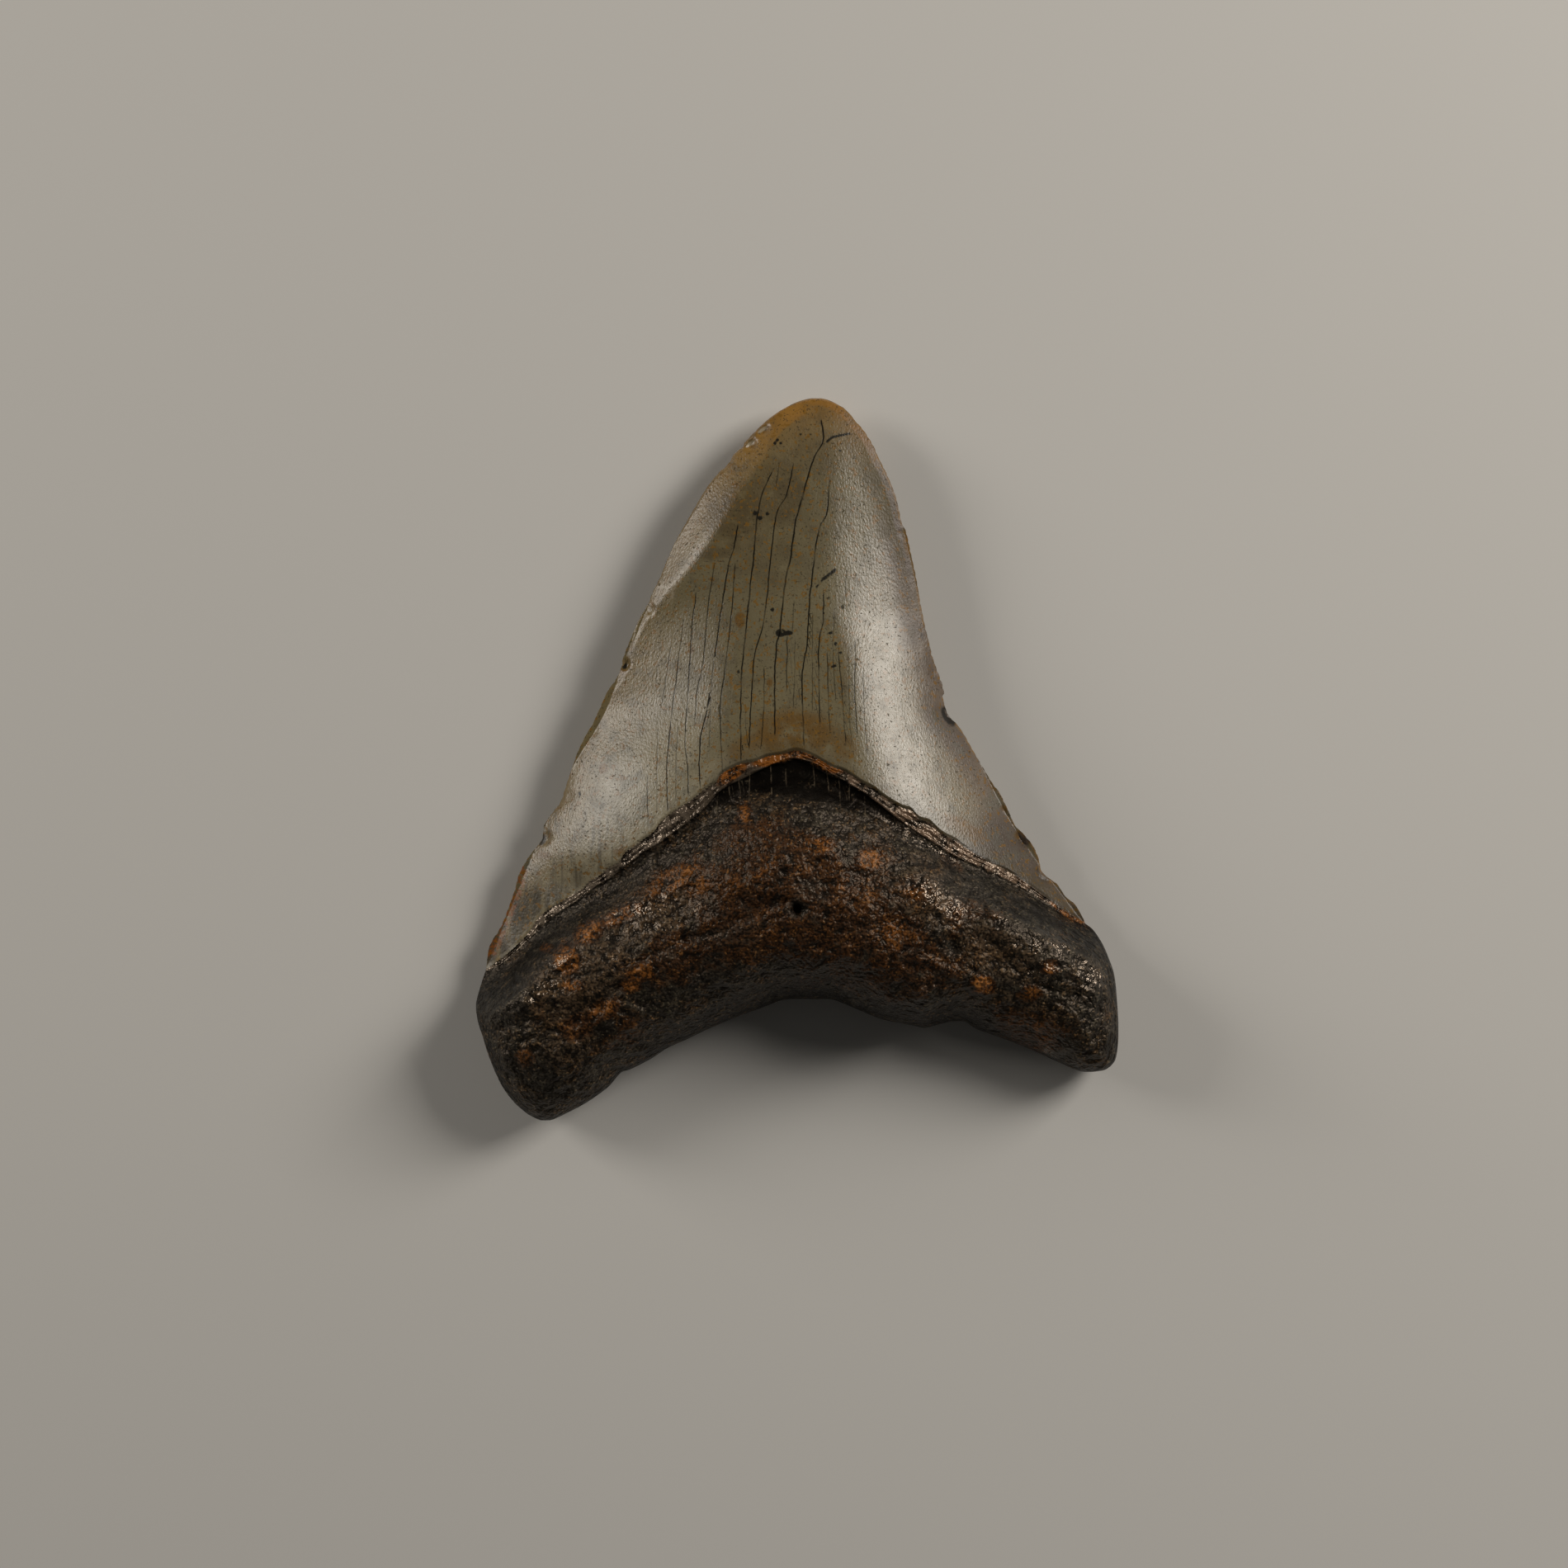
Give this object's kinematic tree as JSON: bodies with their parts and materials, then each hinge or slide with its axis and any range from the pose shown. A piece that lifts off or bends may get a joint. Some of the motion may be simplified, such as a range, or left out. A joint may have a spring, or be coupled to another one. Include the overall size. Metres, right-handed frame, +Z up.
{
  "type": "fossil shark tooth",
  "caption": "Large fossil shark tooth lying on its outer face: a broad triangular enamel crown with worn, chipped cutting edges over a dark bony root with two rounded lobes.",
  "frame": {"origin": "centre of the tooth's box in X and Y, on the surface it lies on", "axes": "+X across the tooth to the right when the inner face is seen, +Y from the root to the tip, +Z up out of the inner face"},
  "size_m": [0.0845, 0.095, 0.0203],
  "materials": {
    "fossil_tooth": "satin grey-beige mineralised enamel over a rough, glossy dark brown root"
  },
  "bodies": {
    "root": {"tooth": "fossil_tooth"}
  },
  "joints": []
}
